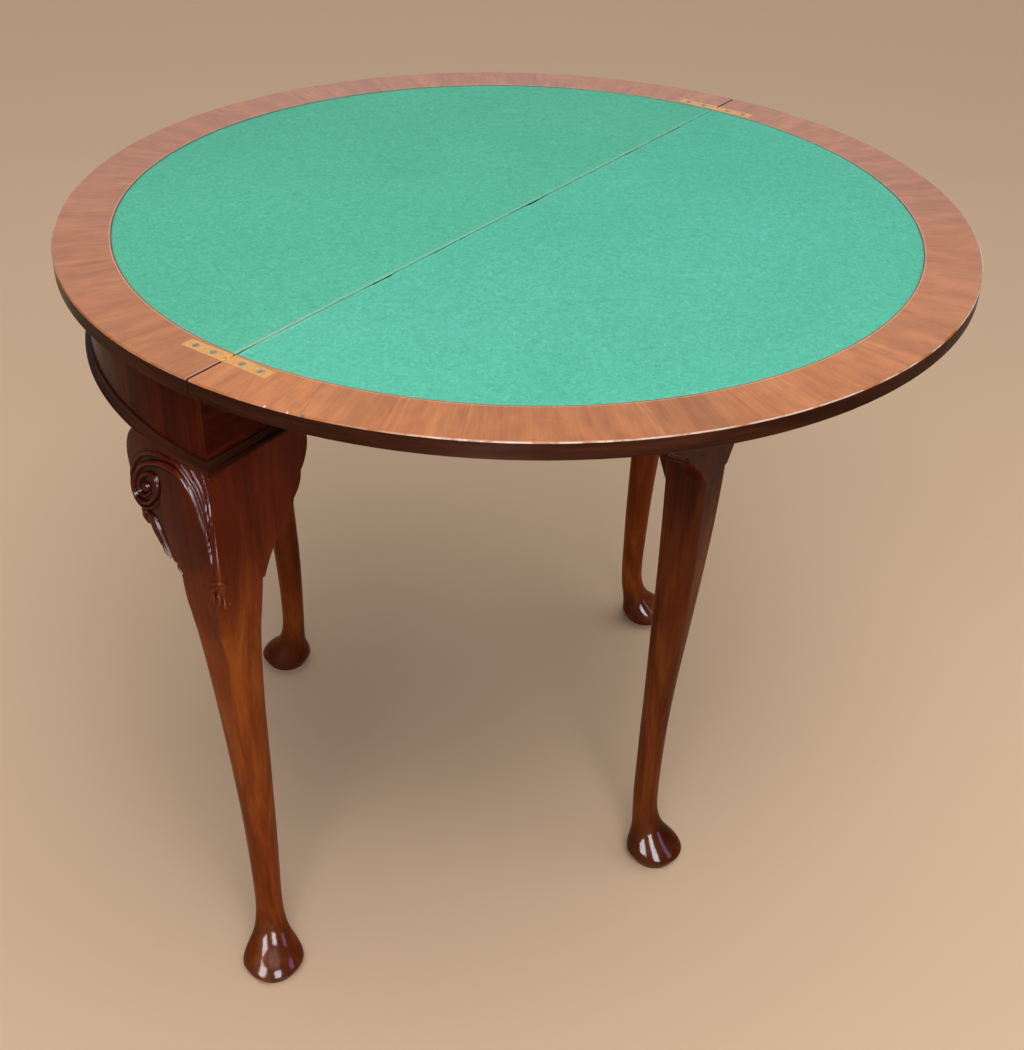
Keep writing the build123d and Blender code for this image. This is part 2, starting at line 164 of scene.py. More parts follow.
def stretched(tree, vector, scale):
    node = tree.nodes.new("ShaderNodeMapping")
    plug(tree, vector, node.inputs["Vector"])
    node.inputs["Scale"].default_value = scale
    return node.outputs[0]


def band(tree, value, low, high, soft):
    # one between low and high, nought outside
    inside = fade(tree, value, low - soft, low + soft)
    return times(tree, inside, fade(tree, value, high - soft, high + soft, 1.0, 0.0))


def shade(tree, colour, amount):
    # colour made darker or lighter by one number
    return mixColour(tree, 1.0, colour, join(tree, amount, amount, amount), "MULTIPLY")


def tinted(tree, colour, tint):
    return mixColour(tree, 1.0, colour, tint, "MULTIPLY")


def bump(tree, shader, height, strength, distance):
    node = tree.nodes.new("ShaderNodeBump")
    node.inputs["Strength"].default_value = strength
    node.inputs["Distance"].default_value = distance
    plug(tree, height, node.inputs["Height"])
    tree.links.new(node.outputs["Normal"], shader.inputs["Normal"])


def polar(tree, point):
    # distance from the table's centre line, turn about it in radians, and height
    x, y, z = split(tree, point)
    return lengthOf(tree, x, y), maths(tree, "ARCTAN2", y, x), z


# polished wood: grain runs along the third axis of the grain vector
woodLooks = {
    "border": {"dark": (0.400, 0.128, 0.034), "middle": (0.495, 0.168, 0.046), "light": (0.575, 0.210, 0.064),
               "figure": 0.60, "fine": 1.4, "rough": 0.22, "coat": 0.0, "coatRough": 0.06, "pore": 0.88, "ior": 1.38},
    "edge": {"dark": (0.018, 0.005, 0.002), "middle": (0.045, 0.012, 0.005), "light": (0.090, 0.024, 0.009),
             "figure": 0.6, "fine": 1.0, "rough": 0.30, "coat": 0.06, "coatRough": 0.08, "pore": 0.75, "ior": 1.07},
    "frieze": {"dark": (0.018, 0.002, 0.001), "middle": (0.062, 0.006, 0.002), "light": (0.140, 0.018, 0.004),
               "figure": 0.75, "fine": 1.0, "rough": 0.28, "coat": 0.05, "coatRough": 0.08, "pore": 0.85, "ior": 1.05},
    "leg": {"dark": (0.115, 0.019, 0.003), "middle": (0.235, 0.049, 0.007), "light": (0.385, 0.106, 0.015),
            "figure": 0.75, "fine": 1.0, "rough": 0.30, "coat": 0.14, "coatRough": 0.10, "pore": 0.85, "ior": 1.06},
    # the gate leg's look is the leg's made darker: painted shade, as the gate leg stands under the flap
    "shadedGateLeg": {"dark": (0.068, 0.012, 0.002), "middle": (0.140, 0.030, 0.005), "light": (0.240, 0.066, 0.011),
                "figure": 0.75, "fine": 1.0, "rough": 0.30, "coat": 0.14, "coatRough": 0.10, "pore": 0.85, "ior": 1.06},
    "hidden": {"dark": (0.110, 0.055, 0.025), "middle": (0.230, 0.130, 0.065), "light": (0.360, 0.230, 0.130),
               "figure": 0.8, "fine": 1.0, "rough": 0.62, "coat": 0.0, "coatRough": 0.1, "pore": 0.7, "ior": 1.35},
}
# the legs are painted darker and redder on the knees, as painted shade under the table's top, and are darker on the
# feet
legShades = {"knee": (0.46, 0.24, 0.30), "foot": (0.55, 0.50, 0.55), "kneeShadeFrom": 0.44, "kneeShadeTo": 0.58,
             "footTop": 0.075, "crestLightAndGrooveShade": (1.10, 0.22)}
# sizes of the grain: larger numbers are finer
grainSizes = {"figure": 26.0, "streaks": 190.0, "pores": 900.0, "polish": 9.0, "bump": 0.10,
              "bumpDepth": 0.4 * mm}


def woodGrain(tree, shader, along, look, extra=None):
    # broad figure, fine streaks and short pores, all drawn out along the grain
    sizes, fine = grainSizes, look["fine"]
    figure = noiseAt(tree, stretched(tree, along, (1.0, 1.0, 0.16)), sizes["figure"] * fine, 4.0, 0.6, 0.9)
    streaks = noiseAt(tree, stretched(tree, along, (1.0, 1.0, 0.05)), sizes["streaks"] * fine, 4.0, 0.65, 0.25)
    pores = noiseAt(tree, stretched(tree, along, (1.0, 1.0, 0.035)), sizes["pores"], 2.0, 0.5)
    tone = plus(tree, times(tree, figure, look["figure"]), times(tree, streaks, 1.0 - look["figure"]))
    colour = ramp(tree, tone, [(0.34, look["dark"]), (0.5, look["middle"]), (0.66, look["light"])])
    colour = shade(tree, colour, fade(tree, pores, 0.56, 0.70, 1.0, look["pore"]))
    if extra is not None:
        colour = extra(colour)
    plug(tree, colour, shader.inputs["Base Color"])
    polish = noiseAt(tree, along, sizes["polish"], 3.0)
    plug(tree, fade(tree, polish, 0.3, 0.7, look["rough"] - 0.05, look["rough"] + 0.09), shader.inputs["Roughness"])
    shader.inputs["Coat Weight"].default_value = look["coat"]
    shader.inputs["Coat Roughness"].default_value = look["coatRough"]
    shader.inputs["IOR"].default_value = look["ior"]
    height = plus(tree, times(tree, pores, 0.5), streaks)
    bump(tree, shader, height, sizes["bump"], sizes["bumpDepth"])


def legWood(name, lookName, carved=False):
    # upright grain; on the carving the grooves get painted shade and the crests are a little lighter
    material, tree, shader = newMaterial(name)
    point = objectPoint(tree)
    shades = legShades

    def extra(colour):
        height = split(tree, point)[2]
        # painted shade: the knees turn darker and redder towards the top, under the table's top
        knee = fade(tree, height, shades["kneeShadeFrom"], shades["kneeShadeTo"])
        colour = mixColour(tree, knee, colour, tinted(tree, colour, shades["knee"]))
        if carved:
            # painted shade in the carving's grooves, from how far each point lies under its neighbours; crests a little
            # lighter
            depth = tree.nodes.new("ShaderNodeAttribute")
            depth.attribute_name = "groove"
            colour = shade(tree, colour, fade(tree, depth.outputs["Fac"], -0.5, 0.6, *shades["crestLightAndGrooveShade"]))
        foot = fade(tree, height, 0.4 * shades["footTop"], shades["footTop"], 1.0, 0.0)
        return mixColour(tree, foot, colour, tinted(tree, colour, shades["foot"]))

    woodGrain(tree, shader, point, woodLooks[lookName], extra)
    return material


def alongWood(name, lookName):
    # grain runs along X
    material, tree, shader = newMaterial(name)
    x, y, z = split(tree, objectPoint(tree))
    woodGrain(tree, shader, join(tree, y, z, x), woodLooks[lookName])
    return material


def roundWood(name, lookName, upright=False):
    # follows the table's curve; grain runs round it, or upright as on the frieze
    material, tree, shader = newMaterial(name)
    radius, turn, z = polar(tree, objectPoint(tree))
    length = times(tree, turn, topRadius)
    along = join(tree, length, radius, z) if upright else join(tree, radius, z, length)
    woodGrain(tree, shader, along, woodLooks[lookName])
    return material


borderLook = {"segmentTurn": 30.0, "toneSpread": 0.06, "jointWidth": 0.7 * mm, "mottle": 70.0,
              "wear": 38.0, "wornColour": (0.80, 0.62, 0.52), "wornFrom": 16.0, "wornTo": 30.0,
              "foldShade": (0.060, 0.020, 0.020), "foldPale": (0.62, 0.60, 0.66)}
# joints that show on the flap: angle at the baize, angle at the rim, tone beyond the joint
seenJoints = [(4.5, 7.0, 1.07), (12.5, 14.0, 0.95), (49.0, 49.8, 0.88)]
# chips on the flap's arris: angle, half width, how dark
chips = [(9.85, 1.3 * mm, 0.0), (12.44, 1.0 * mm, 0.0), (14.12, 1.8 * mm, 0.75)]


def borderWood(name):
    # crossbanding: grain runs outwards, each segment with a tone of its own and a fine joint line
    material, tree, shader = newMaterial(name)
    point = objectPoint(tree)
    radius, turn = polar(tree, point)[:2]
    y = split(tree, point)[1]
    look = borderLook
    length = times(tree, turn, topRadius)
    segment = math.radians(look["segmentTurn"])
    share = maths(tree, "DIVIDE", turn, segment)
    inside = maths(tree, "FRACT", share)
    white = tree.nodes.new("ShaderNodeTexWhiteNoise")
    white.noise_dimensions = "1D"
    plug(tree, maths(tree, "FLOOR", share), white.inputs["W"])
    shift = times(tree, white.outputs["Value"], 3.0)
    along = join(tree, plus(tree, length, shift), shift, radius)
    spread = look["toneSpread"]

    def extra(colour):
        colour = shade(tree, colour, fade(tree, white.outputs["Value"], 0.0, 1.0, 1.0 - spread, 1.0 + spread))
        toJoint = maths(tree, "MINIMUM", inside, minus(tree, 1.0, inside))
        toJoint = times(tree, toJoint, segment * topRadius)
        colour = shade(tree, colour, fade(tree, toJoint, 0.0, look["jointWidth"], 0.82, 1.0))
        mottle = noiseAt(tree, stretched(tree, along, (1.0, 1.0, 0.5)), look["mottle"], 3.0, 0.5, 0.6)
        colour = shade(tree, colour, fade(tree, mottle, 0.35, 0.65, 0.91, 1.06))
        across = maths(tree, "DIVIDE", minus(tree, radius, baizeRadius), topRadius - baizeRadius)
        for inner, outer, tone in seenJoints:
            place = maths(tree, "MULTIPLY_ADD", across, math.radians(outer - inner), math.radians(inner))
            past = times(tree, minus(tree, turn, place), topRadius)
            joint = fade(tree, maths(tree, "ABSOLUTE", past), 0.0, look["jointWidth"], 0.72, 1.0)
            colour = shade(tree, colour, joint)
            beyond = fade(tree, past, 40.0 * mm, 90.0 * mm, 1.0, 0.0)
            near = times(tree, fade(tree, past, 0.0, 0.3 * mm), beyond)
            colour = shade(tree, colour, maths(tree, "MULTIPLY_ADD", near, tone - 1.0, 1.0))
        # dark line and pale line beside the baize
        colour = shade(tree, colour, fade(tree, radius, baizeRadius + 0.5 * mm, baizeRadius + 1.1 * mm, 0.42, 1.0))
        pale = band(tree, radius, baizeRadius + 1.4 * mm, baizeRadius + 2.1 * mm, 0.3 * mm)
        colour = mixColour(tree, times(tree, pale, 0.35), colour, look["wornColour"])
        # the worn arris, most on the flap
        patches = fade(tree, noiseAt(tree, point, look["wear"], 4.0), 0.40, 0.52)
        worn = times(tree, fade(tree, radius, topRadius - 1.0 * mm, topRadius - 0.6 * mm), patches)
        start, end = math.radians(look["wornFrom"]), math.radians(look["wornTo"])
        worn = times(tree, worn, fade(tree, turn, start, end, 0.12, 0.75))
        colour = mixColour(tree, worn, colour, look["wornColour"])
        for angle, width, darkness in chips:
            aside = times(tree, minus(tree, turn, math.radians(angle)), topRadius)
            inward = minus(tree, radius, topRadius - 0.6 * mm)
            chip = fade(tree, lengthOf(tree, aside, inward), 0.7 * width, width, 0.9, 0.0)
            chipColour = tuple(part * (1.0 - darkness) for part in look["wornColour"])
            colour = mixColour(tree, chip, colour, chipColour)
        # the fold: painted shade in the gap between the leaves, a pale arris on the fixed leaf's side
        fold = fade(tree, maths(tree, "ABSOLUTE", y), 0.8 * mm, 1.5 * mm, 0.95, 0.0)
        colour = mixColour(tree, fold, colour, look["foldShade"])
        arris = times(tree, band(tree, y, -2.0 * mm, -1.5 * mm, 0.25 * mm), 0.5)
        return mixColour(tree, arris, colour, look["foldPale"])

    woodGrain(tree, shader, along, woodLooks["border"], extra)
    return material


# baize: colours, scales of the patterns, and how far the fold's wear reaches
baizeLook = {"deep": (0.066, 0.400, 0.248), "middle": (0.092, 0.505, 0.322), "pale": (0.150, 0.640, 0.450),
             "lint": (0.45, 0.66, 0.52), "worn": (0.230, 0.570, 0.390), "sheen": (0.35, 0.95, 0.72),
             "broad": 7.0, "mottle": 210.0, "fibres": 900.0, "lintScale": 62.0,
             "wearScale": 60.0, "wearFrom": 3.5 * mm, "wearTo": 7.5 * mm, "wearWander": 4.0 * mm}


def baizeCloth(name, lift, tint, edgeWear):
    material, tree, shader = newMaterial(name)
    point = objectPoint(tree)
    look = baizeLook
    broad = noiseAt(tree, point, look["broad"], 3.0)
    mottle = noiseAt(tree, point, look["mottle"], 5.0, 0.7, 1.2)
    fibre = noiseAt(tree, stretched(tree, point, (1.0, 0.45, 1.0)), look["fibres"], 3.0, 0.7, 2.5)
    tone = plus(tree, times(tree, mottle, 0.5), times(tree, fibre, 0.5))
    tone = plus(tree, tone, times(tree, minus(tree, broad, 0.5), 0.10))
    tone = plus(tree, tone, lift)
    colour = ramp(tree, tone, [(0.40, look["deep"]), (0.51, look["middle"]), (0.64, look["pale"])])
    colour = tinted(tree, colour, tint)
    # paler where the fold rubs
    y = maths(tree, "ABSOLUTE", split(tree, point)[1])
    wander = times(tree, noiseAt(tree, point, look["wearScale"], 3.0), look["wearWander"])
    wear = fade(tree, plus(tree, y, wander), look["wearFrom"], look["wearTo"], edgeWear, 0.0)
    colour = mixColour(tree, wear, colour, look["worn"])
    # a few specks of lint
    specks = tree.nodes.new("ShaderNodeTexVoronoi")
    plug(tree, point, specks.inputs["Vector"])
    specks.inputs["Scale"].default_value = look["lintScale"]
    keep = fade(tree, split(tree, specks.outputs["Color"])[0], 0.95, 0.97)
    lint = times(tree, keep, fade(tree, specks.outputs["Distance"], 0.035, 0.065, 1.0, 0.0))
    colour = mixColour(tree, times(tree, lint, 0.75), colour, look["lint"])
    plug(tree, colour, shader.inputs["Base Color"])
    shader.inputs["Roughness"].default_value = 0.95
    shader.inputs["Sheen Weight"].default_value = 0.25
    shader.inputs["Sheen Roughness"].default_value = 0.5
    shader.inputs["Sheen Tint"].default_value = (*look["sheen"], 1.0)
    shader.inputs["Specular IOR Level"].default_value = 0.1
    bump(tree, shader, tone, 0.7, 1.4 * mm)
    return material


def threadCloth(name, dark, pale, soiled):
    # the near end of the fold is soiled
    material, tree, shader = newMaterial(name)
    point = objectPoint(tree)
    tone = noiseAt(tree, point, 130.0, 2.0)
    colour = ramp(tree, tone, [(0.35, dark), (0.60, pale)])
    colour = mixColour(tree, fade(tree, split(tree, point)[0], 0.24, 0.33), colour, soiled)
    plug(tree, colour, shader.inputs["Base Color"])
    shader.inputs["Roughness"].default_value = 0.95
    shader.inputs["Specular IOR Level"].default_value = 0.1
    return material


metalLooks = {
    "hingeBrass": {"colour": (0.74, 0.38, 0.095), "dull": (0.58, 0.28, 0.07), "rough": 0.40, "metal": 0.45},
    "screwBrass": {"colour": (0.32, 0.26, 0.19), "dull": (0.13, 0.10, 0.07), "rough": 0.50, "metal": 0.15},
    "screwSteel": {"colour": (0.30, 0.29, 0.28), "dull": (0.09, 0.08, 0.075), "rough": 0.40, "metal": 0.9},
}


def oldMetal(name, lookName):
    look = metalLooks[lookName]
    material, tree, shader = newMaterial(name)
    point = objectPoint(tree)
    tarnish = noiseAt(tree, point, 260.0, 4.0, 0.6, 0.6)
    rub = noiseAt(tree, stretched(tree, point, (1.0, 0.12, 1.0)), 2200.0, 2.0)
    colour = ramp(tree, tarnish, [(0.3, look["dull"]), (0.55, look["colour"])])
    plug(tree, colour, shader.inputs["Base Color"])
    shader.inputs["Metallic"].default_value = look["metal"]
    plug(tree, fade(tree, tarnish, 0.3, 0.7, look["rough"] + 0.15, look["rough"] - 0.05), shader.inputs["Roughness"])
    bump(tree, shader, plus(tree, rub, tarnish), 0.2, 0.1 * mm)
    return material


materials = {
    "leg": legWood("polished leg mahogany", "leg"),
    "carving": legWood("carved knee mahogany", "leg", True),
    # the gate leg's wood is darkened as painted shade
    "shadedGateLeg": legWood("polished gate leg mahogany with painted shade", "shadedGateLeg"),
    "border": borderWood("crossbanded border"),
    "edge": roundWood("leaf edge mahogany", "edge"),
    "frieze": roundWood("frieze veneer", "frieze", True),
    "roundMoulding": roundWood("bead moulding round", "edge"),
    "straightMoulding": alongWood("bead moulding straight", "edge"),
    "backRail": alongWood("back rail mahogany", "frieze"),
    "hidden": alongWood("plain inner wood", "hidden"),
    "bedBaize": baizeCloth("baize of the fixed leaf", 0.0, (1.0, 1.0, 1.0), 0.7),
    # the flap's baize is made a little paler and bluer than the fixed leaf's: painted sheen
    "flapBaize": baizeCloth("baize of the flap with painted sheen", 0.01, (1.0, 1.03, 1.10), 0.2),
    "bedThread": threadCloth("threads of the fixed leaf", (0.14, 0.44, 0.30), (0.27, 0.60, 0.42), (0.50, 0.45, 0.33)),
    "flapThread": threadCloth("threads of the flap", (0.08, 0.42, 0.31), (0.16, 0.62, 0.46), (0.30, 0.85, 0.72)),
    "hinge": oldMetal("worn hinge brass", "hingeBrass"),
    "hingeScrew": oldMetal("screw brass", "screwBrass"),
    "topScrew": oldMetal("screw steel", "screwSteel"),
}
print("materials made:", len(materials))


def paint(material, *names):
    for name in names:
        piece = nodes[name]
        piece.data.materials.clear()
        piece.data.materials.append(material)


def ends(name):
    return name + "_near", name + "_far"


paint(materials["leg"], *ends("corner_leg"), "front_leg", *ends("corner_front_ear"), *ends("corner_back_ear"),
      *ends("front_leg_ear"))
paint(materials["shadedGateLeg"], "gate_leg", *ends("gate_ear"), "gate_bracket")
paint(materials["border"], "bed_crossband", "flap_crossband")
paint(materials["edge"], "bed_core", "flap_core")
paint(materials["straightMoulding"], *ends("back_moulding"), "gate_moulding")
paint(materials["backRail"], *ends("back_rail"), "gate_frieze")
paint(materials["hidden"], *ends("runner"), "bridge_rail", "top_blocks", "gate_stretcher", "gate_tie",
      *ends("gate_loper"))
paint(materials["hinge"], *ends("bed_hinge_plate"), *ends("flap_hinge_plate"), *ends("hinge_link"))
paint(materials["hingeScrew"], "bed_hinge_screws", "flap_hinge_screws", "hinge_pins")
paint(materials["topScrew"], "top_screws")
print("pieces painted")


# studio
cameraPlace = {"location": (1.0638, 0.7395, 1.266), "turn": (55.538, -1.418, 125.663), "lens": 48.72}


def makeCamera():
    data = bpy.data.cameras.new("camera")
    data.lens = cameraPlace["lens"]
    data.sensor_width = 36.0
    camera = bpy.data.objects.new("camera", data)
    camera.location = cameraPlace["location"]
    camera.rotation_euler = Euler([math.radians(turn) for turn in cameraPlace["turn"]])
    bpy.context.scene.collection.objects.link(camera)
    bpy.context.scene.camera = camera


studio = {"floorColour": (0.78, 0.55, 0.36), "floorReach": 6.0, "worldColour": (0.72, 0.74, 0.84), "world": 0.10,
          "skyPower": 1.45, "skySpread": 70.0, "skyTurn": (-10.0, -8.0, 0.0), "skyColour": (1.0, 0.99, 0.97),
          "middle": (0.0, 0.0, 0.5)}
# lamps: place, size, power, colour; the last ones only show in the polish
softBox = ((1.3, 1.0, 2.4), (1.4, 1.4), 38.0, (1.0, 0.99, 0.97))
shineLamps = {
    "window left": ((2.7, 0.1, 1.3), (1.0, 1.4), 345.0, (0.92, 0.95, 1.0)),
    "window right": ((1.8, 2.15, 1.3), (1.0, 1.4), 345.0, (0.96, 0.97, 1.0)),
    "violet window": ((-0.5, 2.6, 1.1), (0.60, 1.2), 40.0, (0.50, 0.45, 1.0)),
    "far wall": ((-1.31, -0.91, 1.3), (5.0, 2.6), 33.0, (0.740, 0.815, 1.0)),
}
lowGlow = ((1.06, 0.60, 0.02), (0.30, 0.30), 16.0, (0.85, 0.84, 1.0))


def makeFloor():
    mesh = bpy.data.meshes.new("floor")
    work = bmesh.new()
    bmesh.ops.create_grid(work, x_segments=1, y_segments=1, size=studio["floorReach"])
    work.to_mesh(mesh)
    work.free()
    floor = bpy.data.objects.new("floor", mesh)
    bpy.context.scene.collection.objects.link(floor)
    material, _, shader = newMaterial("plain pale floor")
    shader.inputs["Base Color"].default_value = (*studio["floorColour"], 1.0)
    shader.inputs["Roughness"].default_value = 0.9
    shader.inputs["Specular IOR Level"].default_value = 0.1
    mesh.materials.append(material)


def areaLight(name, values, target, onlyShine):
    place, size, power, colour = values
    data = bpy.data.lights.new(name, "AREA")
    data.shape = "RECTANGLE"
    data.size, data.size_y = size
    data.energy = power
    data.color = colour
    lamp = bpy.data.objects.new(name, data)
    lamp.location = place
    lamp.rotation_euler = (Vector(target) - Vector(place)).to_track_quat("-Z", "Y").to_euler()
    lamp.visible_camera = False
    lamp.visible_diffuse = not onlyShine
    bpy.context.scene.collection.objects.link(lamp)


def makeLights():
    sky = bpy.data.lights.new("soft sky", "SUN")
    sky.energy = studio["skyPower"]
    sky.angle = math.radians(studio["skySpread"])
    sky.color = studio["skyColour"]
    lamp = bpy.data.objects.new("soft sky", sky)
    lamp.rotation_euler = [math.radians(turn) for turn in studio["skyTurn"]]
    bpy.context.scene.collection.objects.link(lamp)
    areaLight("soft box", softBox, studio["middle"], False)
    for name, values in shineLamps.items():
        areaLight(name, values, studio["middle"], True)
    x, y, z = lowGlow[0]
    areaLight("low glow", lowGlow, (x, y, z + 1.0), True)  # shines straight up
    world = bpy.data.worlds.new("studio")
    bpy.context.scene.world = world
    world.use_nodes = True
    background = world.node_tree.nodes["Background"]
    background.inputs["Color"].default_value = (*studio["worldColour"], 1.0)
    background.inputs["Strength"].default_value = studio["world"]
    bpy.context.scene.view_settings.view_transform = "Standard"  # keeps the deep reds and greens


makeCamera()
makeFloor()
makeLights()
print("studio ready")


# meshes
def addPiece(name, verts, faces, material, body):
    mesh = bpy.data.meshes.new(name)
    mesh.from_pydata(verts, [], faces)
    mesh.validate()
    mesh.materials.append(material)
    mesh.polygons.foreach_set("use_smooth", [True] * len(mesh.polygons))
    piece = bpy.data.objects.new(name, mesh)
    bpy.context.scene.collection.objects.link(piece)
    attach(piece, body)
    return piece


def closeShell(piece, thickness):
    # gives a sheet its thickness, inwards from its outer side
    modifier = piece.modifiers.new("thickness", "SOLIDIFY")
    modifier.thickness = thickness
    modifier.offset = -1.0
    modifier.use_even_offset = False
    graph = bpy.context.evaluated_depsgraph_get()
    mesh = bpy.data.meshes.new_from_object(piece.evaluated_get(graph))
    piece.modifiers.clear()
    old = piece.data
    piece.data = mesh
    bpy.data.meshes.remove(old)


# the curved frieze: each quarter runs from the middle of the front to the mitre at the corner
frieze = {"steps": 96, "groundInner": 388.0 * mm, "veneer": 1.0 * mm, "sharpAngle": 25.0}
cornerX, backFace = friezeHigh.x, friezeHigh.y
friezeRadius = math.hypot(cornerX, backFace)
# outline of the bead moulding, outwards and upwards in millimetres
mouldingOutline = [(0.0, 0.0), (5.0, 0.0), (6.0, 1.5), (6.0, 3.0), (5.0, 4.5), (3.0, 5.4), (1.5, 9.5), (1.5, 11.0),
                   (0.0, 11.0)]


def mitreTurn(radius):
    # where a circle about the middle meets the mitre at the corner
    return -math.pi / 4.0 + math.acos((cornerX - backFace) / (math.sqrt(2.0) * radius))


def quarterRing(name, side, outline, material, replaced):
    # outline is a closed list of (radius, height); side is 1 for the near quarter and -1 for the far one
    steps = frieze["steps"]
    verts = []
    for step in range(steps + 1):
        for radius, height in outline:
            turn = -math.pi / 2.0 + (mitreTurn(radius) + math.pi / 2.0) * step / steps
            verts.append((side * radius * math.cos(turn), radius * math.sin(turn), height))
    count = len(outline)
    faces = [tuple(range(count)), tuple(range(steps * count, (steps + 1) * count))]
    for step in range(steps):
        for corner in range(count):
            first, second = step * count + corner, step * count + (corner + 1) % count
            faces.append((first, second, second + count, first + count))
    ring = addPiece(name, verts, faces, material, "table_frame")
    shell = bmesh.new()
    shell.from_mesh(ring.data)
    bmesh.ops.recalc_face_normals(shell, faces=shell.faces)
    shell.to_mesh(ring.data)
    shell.free()
    ring.data.set_sharp_from_angle(angle=math.radians(frieze["sharpAngle"]))
    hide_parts(replaced)


def board(inner, outer):
    # outline of a bent board as high as the frieze
    return [(inner, friezeLow.z), (outer, friezeLow.z), (outer, friezeHigh.z), (inner, friezeHigh.z)]


veneerInner = friezeRadius - frieze["veneer"]
mouldingProfile = [(friezeRadius + out * mm, friezeLow.z + up * mm) for out, up in mouldingOutline]
for side, end in ((1, "near"), (-1, "far")):
    quarterRing("frieze_face_" + end, side, board(veneerInner, friezeRadius), materials["frieze"],
                "frieze_veneer_" + end)
    quarterRing("frieze_core_" + end, side, board(frieze["groundInner"], veneerInner), materials["hidden"],
                "frieze_ground_" + end)
    quarterRing("frieze_bead_" + end, side, mouldingProfile, materials["roundMoulding"],
                "front_moulding_" + end)
print("frieze quarters made")


# baize panels: thin cloth glued down, its fold edge cut by hand, slightly wavy and lifted
cloth = {"thickness": 1.0 * mm, "below": 0.25 * mm, "clearance": 0.2 * mm, "columns": 420, "rows": 110,
         "rowEase": 1.35, "ripple": 0.10 * mm, "rippleScale": 35.0, "edgeGap": 0.10 * mm,
         "bedWander": 0.35 * mm, "flapWander": 2.0 * mm, "slowWave": 22.0, "quickWave": 95.0,
         "edgeLift": 0.28 * mm, "liftReach": 5.0 * mm}


def edgeSeed(side):
    return 3.0 + 5.0 * side


def foldWave(x, side):
    # how the cut edge runs at one place along the fold, between -1 and 1
    seed = edgeSeed(side)
    slow = noise.noise(Vector((x * cloth["slowWave"], seed, 0.0)))
    quick = noise.noise(Vector((x * cloth["quickWave"], seed + 7.0, 0.0)))
    return max(-1.0, min(1.0, 1.5 * slow + 0.6 * quick))


def edgeWander(wave, side):
    # how far the cut edge draws back from the leaf's edge: little for the most part, more in short stretches
    return (cloth["bedWander"] if side < 0 else cloth["flapWander"]) * (0.5 + 0.5 * wave) ** 3


def baizePanel(name, side, material, body, replaced):
    # side is -1 for the fixed leaf and 1 for the flap
    look = cloth
    radius, scale = baizeRadius - look["clearance"], look["rippleScale"]
    furthest = 0.9995 * radius  # keeps the pointed ends from closing up
    verts = []
    for column in range(look["columns"] + 1):
        x = -radius * math.cos(math.pi * column / look["columns"])
        x = max(-furthest, min(furthest, x))
        wave = foldWave(x, side)
        reach = math.sqrt(radius * radius - x * x)
        start = min(look["edgeGap"] + foldEdge + edgeWander(wave, side), 0.9 * reach)
        for row in range(look["rows"] + 1):
            share = (row / look["rows"]) ** look["rowEase"]
            y = start + (reach - start) * share
            lift = look["edgeLift"] * max(0.0, 1.0 - (y - start) / look["liftReach"]) ** 2 * (0.4 + 0.6 * wave)
            ripple = look["ripple"] * noise.noise(Vector((x * scale, y * scale * side, edgeSeed(side))))
            z = tableHeight - look["below"] + lift + ripple
            verts.append((x, side * y, z))
    faces = []
    stride = look["rows"] + 1
    for column in range(look["columns"]):
        for row in range(look["rows"]):
            corner = column * stride + row
            face = (corner, corner + stride, corner + stride + 1, corner + 1)
            faces.append(face if side > 0 else face[::-1])
    panel = addPiece(name, verts, faces, material, body)
    closeShell(panel, look["thickness"])
    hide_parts(replaced)


baizePanel("baize_fixed_leaf", -1, materials["bedBaize"], "table_frame", "bed_baize")
baizePanel("baize_flap", 1, materials["flapBaize"], "flap", "flap_baize")
print("baize laid")


# threads along the cut edges of the baize, by geometry nodes: one runs along each edge, short ones lie loose.
# spread is how far the loose ones lie from the edge: along it, away from the fold and upwards
threads = {"count": 300, "thick": 0.10 * mm, "long": 5.0 * mm, "spread": (2.0 * mm, 1.0 * mm, 0.25 * mm), "seed": 4,
           "bedThick": 0.44 * mm, "flapThick": 0.24 * mm, "edgePlace": 0.30 * mm, "edgeDepth": 0.34 * mm,
           "reach": 0.985, "steps": 760}


